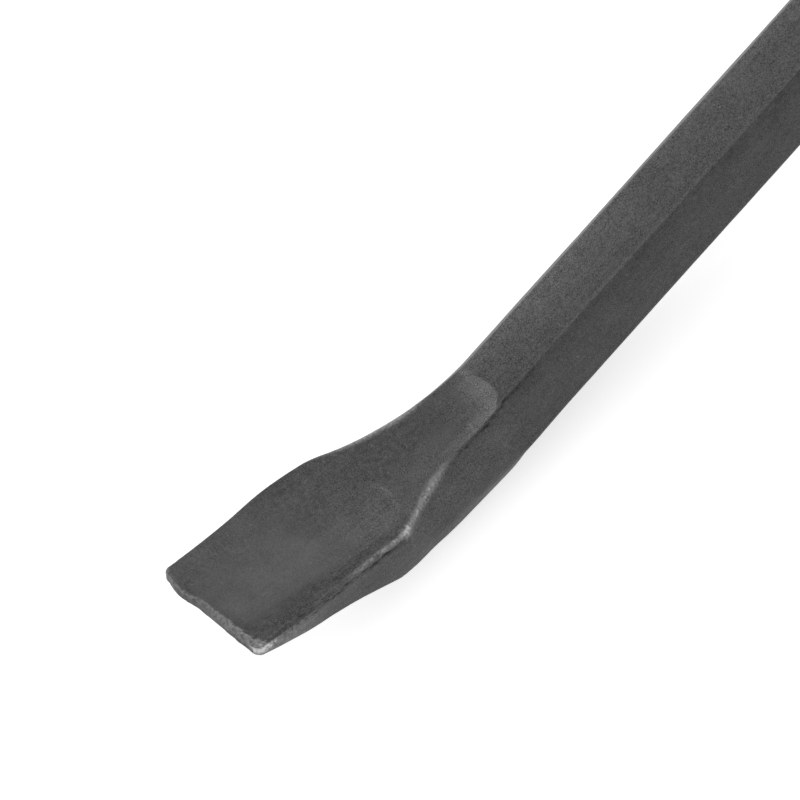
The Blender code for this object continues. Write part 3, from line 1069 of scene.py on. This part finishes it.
def claw_root_finish(spot, gaps):
    """The bar's finish with its painted light and shade, turning into the tines' even one."""
    left = bar_left(spot)
    wear, tone_and_painted_light, grain = shaft_finish(spot, gaps)
    return wear * left, mix(TINE_TONE, tone_and_painted_light, left), mix(TINE_GRAIN, grain, left)


loft("forged_claw_root", "claw_root", [
    station(claw_place(d), claw_root_section(d), CLAW_AT + d, claw_root_relief, claw_root_finish)
    for d in evenly(0.0, SLOT_START, round(SLOT_START / CLAW_STEP))
])

# %% [markdown]
# The claw is split into two tapering tines. The slot between them grips a nail under its head, so its edge
# is bevelled on the hook's inside, and that edge and the tips are rubbed to grey. One tine is the other's
# mirror image, made by turning the sign of Y rather than by a mirror modifier.

# %% The two tines
SLOT_MOUTH_WIDTH = 11.5 * MM
SLOT_ROOT_RADIUS = 1.6 * MM
SLOT_BEVEL = 1.2 * MM
SLOT_BEVEL_AT_ROOT = 0.2 * MM
SLOT_BEVEL_RUN = 5.0 * MM
TINE_CORNER_RADIUS = 3.5 * MM
TINE_SPLITS = 26
TINE_EDGE_SPLITS = 14
TINE_TIP_BULGE = 0.25 * MM
ROOT_STEPS = 10
TINE_STEPS = 60
TINE_CORNER_STEPS = 12
CORNER_SHARE = 0.98
TINE_TIP_WEAR = 0.8
SLOT_WEAR = 0.75
TINE_EDGE_WEAR = 0.45
BEVELLED_CORNER = 3


def slot_half_width(distance):
    """Half the slot's width: a round root, then straight sides out to the mouth."""
    depth = max(distance - SLOT_START, 0.0)
    if depth < SLOT_ROOT_RADIUS:
        return math.sqrt(max(SLOT_ROOT_RADIUS ** 2 - (SLOT_ROOT_RADIUS - depth) ** 2, 0.0))
    share = (depth - SLOT_ROOT_RADIUS) / (SLOT_LENGTH - SLOT_ROOT_RADIUS)
    return mix(SLOT_ROOT_RADIUS, SLOT_MOUTH_WIDTH / 2, share)


def tine_section(distance):
    """One tine, drawn on the far side: its inner edge is bevelled on the hook's inside."""
    rounding = end_rounding(CLAW_LENGTH - distance, TINE_CORNER_RADIUS)
    inner = slot_half_width(distance) + rounding / 3
    outer = claw_half_width(distance) - rounding
    thick = claw_half_thickness(distance)
    opened = ease((distance - SLOT_START) / SLOT_BEVEL_RUN)
    return walk_round([
        (inner, thick, mix(SLOT_BEVEL_AT_ROOT, EDGE_CUT, opened), TINE_SPLITS),
        (outer, thick, EDGE_CUT, TINE_EDGE_SPLITS),
        (outer, -thick, EDGE_CUT, TINE_SPLITS),
        (inner, -thick, mix(SLOT_BEVEL_AT_ROOT, SLOT_BEVEL, opened), TINE_EDGE_SPLITS),
    ])


def tine_finish(spot, gaps):
    """Bare at the tip and along the bevel that grips a nail, rubbed along the other edges."""
    left = CLAW_AT + CLAW_LENGTH - spot.x
    patchy = 0.8 + 0.5 * lumps(spot, (4, 1.5, 1.5))
    opened = ease((SLOT_LENGTH - left) / SLOT_BEVEL_RUN)
    edge = min(abs(gap) for gap in gaps)
    wear = max(
        TINE_TIP_WEAR * rise(-left, -3.5, 2.5),
        SLOT_WEAR * opened * hill(gaps[BEVELLED_CORNER], 0, 0.9),
        TINE_EDGE_WEAR * opened * hill(edge, 0, 0.5),
    )
    return wear * patchy, TINE_TONE, TINE_GRAIN


def tine_rings(side):
    root_end = SLOT_START + SLOT_ROOT_RADIUS
    stops = [root_end - SLOT_ROOT_RADIUS * math.cos(math.pi / 2 * k / ROOT_STEPS) for k in range(ROOT_STEPS)]
    stops += evenly(root_end, CLAW_LENGTH - TINE_CORNER_RADIUS, TINE_STEPS)
    stops += [
        CLAW_LENGTH - TINE_CORNER_RADIUS * (1 - CORNER_SHARE * math.sin(math.pi / 2 * k / TINE_CORNER_STEPS))
        for k in range(1, TINE_CORNER_STEPS + 1)
    ]
    rings = [
        station(claw_place(d), tine_section(d), CLAW_AT + d, whole_relief, tine_finish, side=side)
        for d in stops
    ]
    return rings + drawn_in(claw_place(stops[-1]), rings[-1], 0.0, TINE_TIP_BULGE)


loft("forged_left_tine", "left_tine", tine_rings(-1))
loft("forged_right_tine", "right_tine", tine_rings(1))

# %% [markdown]
# The finish is a thin dark lacquer over forging scale. Where it is rubbed, first the scuffed grey layer and
# then bare steel show. Its patterns are noises on the spot on the unbent bar, so they run round the bends
# without a seam, and they are mixed with each point's wear, grain and tone, which also carries the painted
# light and shade.

# %% Colours and patterns of the finish
LACQUER = (0.072, 0.072, 0.0725, 1.0)
SCUFFED = (0.20, 0.20, 0.199, 1.0)
BARE_STEEL = (0.55, 0.55, 0.545, 1.0)
SHEEN = 0.30
# A pattern's lumps to the metre, or those along, across and up, and its detail
PATTERNS = {
    "fine": (4900.0, 2.0),
    "medium": (1100.0, 2.0),
    "streaks": ((110.0, 1100.0, 1100.0), 3.0),
    "cloud": (200.0, 4.0),
    "brushed": ((30.0, 260.0, 260.0), 2.0),
    "mottle": (1000.0, 2.0),
    "specks": (1500.0, 0.0),
    "scuffs": ((2300.0, 1500.0, 2300.0), 3.0),
}
SWINGS = {"fine": 1.0, "medium": 0.12, "streaks": 0.14, "cloud": 0.12, "brushed": 0.06}
SWINGS |= {"mottle": 0.8, "scuffs": 0.7}
HARD_SCUFFS = 0.18
NOISE_SPREAD = 5.0
# Ranges that are mapped onto others: from low, from high, to low, to high
SPECK_RANGES = (0.79, 0.83, 1.0, 1.5)
SCUFFED_RANGES = (0.10, 0.85, 0.0, 1.0)
BARE_RANGES = (0.95, 1.50, 0.0, 1.0)
METALLIC_RANGES = (0.3, 1.2, 0.0, 0.8)
ROUGHNESS_RANGES = (0.2, 1.2, 0.55, 0.50)
SCRATCH_RANGES = (0.04 * MM, 0.14 * MM, 1.0, 0.0)
SCRATCH_FULL = 0.6
SCRATCH_LIGHT = 0.35
BUMP_STRENGTH = 0.5
BUMP_DISTANCE = 0.05 * MM
print("lacquer", LACQUER[:3], "scuffed", SCUFFED[:3], "steel", BARE_STEEL[:3])

# %% Small node helpers
def maths(tree, operation, *values):
    return add_node(tree, "ShaderNodeMath", enumerate(values), operation=operation).outputs[0]


def ranged(tree, value, low, high, to_low, to_high):
    """Maps low to high onto to_low to to_high, held at the ends."""
    inputs = {"Value": value, "From Min": low, "From Max": high, "To Min": to_low, "To Max": to_high}
    return add_node(tree, "ShaderNodeMapRange", inputs).outputs[0]


def centred(tree, noise_value, strength):
    """Noise turned into a swing about 0, of that strength at its usual extremes."""
    return maths(tree, "MULTIPLY_ADD", noise_value, NOISE_SPREAD * strength, -NOISE_SPREAD / 2 * strength)


def pattern(tree, place, scale, detail):
    """Noise of that many lumps to the metre, about 0.5 on average; three scales stretch it."""
    if isinstance(scale, tuple):
        place = add_node(tree, "ShaderNodeMapping", {"Vector": place, "Scale": scale}).outputs[0]
        scale = 1.0
    inputs = {"Vector": place, "Scale": scale, "Detail": detail}
    return add_node(tree, "ShaderNodeTexNoise", inputs).outputs["Fac"]


def blended(tree, share, first, second, blend_type="MIX"):
    inputs = {0: share, 6: first, 7: second}
    return add_node(tree, "ShaderNodeMix", inputs, data_type="RGBA", blend_type=blend_type).outputs[2]


print("helpers:", ", ".join(made.__name__ for made in (maths, ranged, centred, pattern, blended)))

# %% Scratches on the blade
SCRATCHES = {
    "hooked": ((59.7, 7.8), 2.3, (60.3, 5.6), 2.6),
    "long": ((83.9, 14.8), 20.0, (64.7, 9.4), 1.5),
    "short": ((82.1, 9.3), 20.0, (62.1, 9.3), 1.9),
    "nick": ((49.3, -0.5), 1.2, (49.3, -1.7), 0.7),
}


def scratch(tree, place, centre, radius, middle, reach):
    """A thin arc on the blade, in millimetres: its centre and middle are (past the shaft's end, across)."""
    def distance_to(spot):
        ends = {0: place, 1: (-spot[0] * MM, spot[1] * MM, 0)}
        return add_node(tree, "ShaderNodeVectorMath", ends, operation="DISTANCE").outputs["Value"]

    off_line = maths(tree, "ABSOLUTE", maths(tree, "SUBTRACT", distance_to(centre), radius * MM))
    line = ranged(tree, off_line, *SCRATCH_RANGES)
    fading = ranged(tree, distance_to(middle), SCRATCH_FULL * reach * MM, reach * MM, 1.0, 0.0)
    return maths(tree, "MULTIPLY", line, fading)


print(len(SCRATCHES), "scratches")

# %% The finish itself
def crowbar_finish(name):
    finish = bpy.data.materials.new(name)
    finish.use_nodes = True
    tree = finish.node_tree
    shader = tree.nodes["Principled BSDF"]
    spot = add_node(tree, "ShaderNodeAttribute", attribute_name="straight").outputs["Vector"]
    wear, tone_and_painted_light, grain = (
        add_node(tree, "ShaderNodeAttribute", attribute_name=kept).outputs["Fac"]
        for kept in ("wear", "tone_and_painted_light", "grain")
    )

    noises = {kind: pattern(tree, spot, *shape) for kind, shape in PATTERNS.items()}
    swings = {kind: centred(tree, noises[kind], strength) for kind, strength in SWINGS.items()}
    swing = maths(tree, "ADD", maths(tree, "ADD", swings["fine"], swings["medium"]), swings["streaks"])
    swing = maths(tree, "MULTIPLY_ADD", swing, grain, swings["cloud"])
    swing = maths(tree, "ADD", swing, swings["brushed"])

    specks = ranged(tree, noises["specks"], *SPECK_RANGES)
    # The tone, with the painted light and shade it carries, multiplies the colour from here.
    dark = maths(tree, "MINIMUM", maths(tree, "SUBTRACT", tone_and_painted_light, 1.0), 0.0)
    mottled = maths(tree, "MULTIPLY_ADD", dark, swings["mottle"], tone_and_painted_light)
    shade = maths(tree, "MULTIPLY", maths(tree, "ADD", swing, 1.0), maths(tree, "MULTIPLY", mottled, specks))
    flattened = {0: spot, 1: (1, 1, 0)}
    flat_place = add_node(tree, "ShaderNodeVectorMath", flattened, operation="MULTIPLY").outputs[0]
    for shape in SCRATCHES.values():
        shade = maths(tree, "MULTIPLY_ADD", scratch(tree, flat_place, *shape), SCRATCH_LIGHT, shade)

    rubbed = maths(tree, "MULTIPLY", wear, maths(tree, "ADD", swings["scuffs"], 1.0))
    hard_swing = centred(tree, noises["scuffs"], HARD_SCUFFS)
    hard_rubbed = maths(tree, "MULTIPLY", wear, maths(tree, "ADD", hard_swing, 1.0))
    colour = blended(tree, 1.0, LACQUER, shade, "MULTIPLY")
    colour = blended(tree, ranged(tree, rubbed, *SCUFFED_RANGES), colour, SCUFFED)
    colour = blended(tree, ranged(tree, hard_rubbed, *BARE_RANGES), colour, BARE_STEEL)
    tree.links.new(colour, shader.inputs["Base Color"])
    tree.links.new(ranged(tree, rubbed, *METALLIC_RANGES), shader.inputs["Metallic"])
    tree.links.new(ranged(tree, rubbed, *ROUGHNESS_RANGES), shader.inputs["Roughness"])
    shader.inputs["Specular IOR Level"].default_value = SHEEN

    height = maths(tree, "ADD", maths(tree, "MULTIPLY", noises["fine"], grain), noises["streaks"])
    relief = {"Height": height, "Strength": BUMP_STRENGTH, "Distance": BUMP_DISTANCE}
    bump = add_node(tree, "ShaderNodeBump", relief)
    tree.links.new(bump.outputs[0], shader.inputs["Normal"])
    return finish


steel = crowbar_finish("lacquered_steel")
for skin in skins.values():
    skin.data.materials.append(steel)
print("the finish has", len(steel.node_tree.nodes), "nodes and is on", len(skins), "skins")

# %% [markdown]
# Both boxes, of the plain solids and of the skins, are printed side by side. The skins have to stay in the
# plain solids' box, apart from three hundredths of each side.

# %% The two boxes, side by side
seen_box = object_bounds()
for label, box in (("plain solids", cad_box), ("skins", seen_box)):
    print(label, "from", [round(v / MM, 2) for v in box[0]], "to", [round(v / MM, 2) for v in box[1]], "mm")
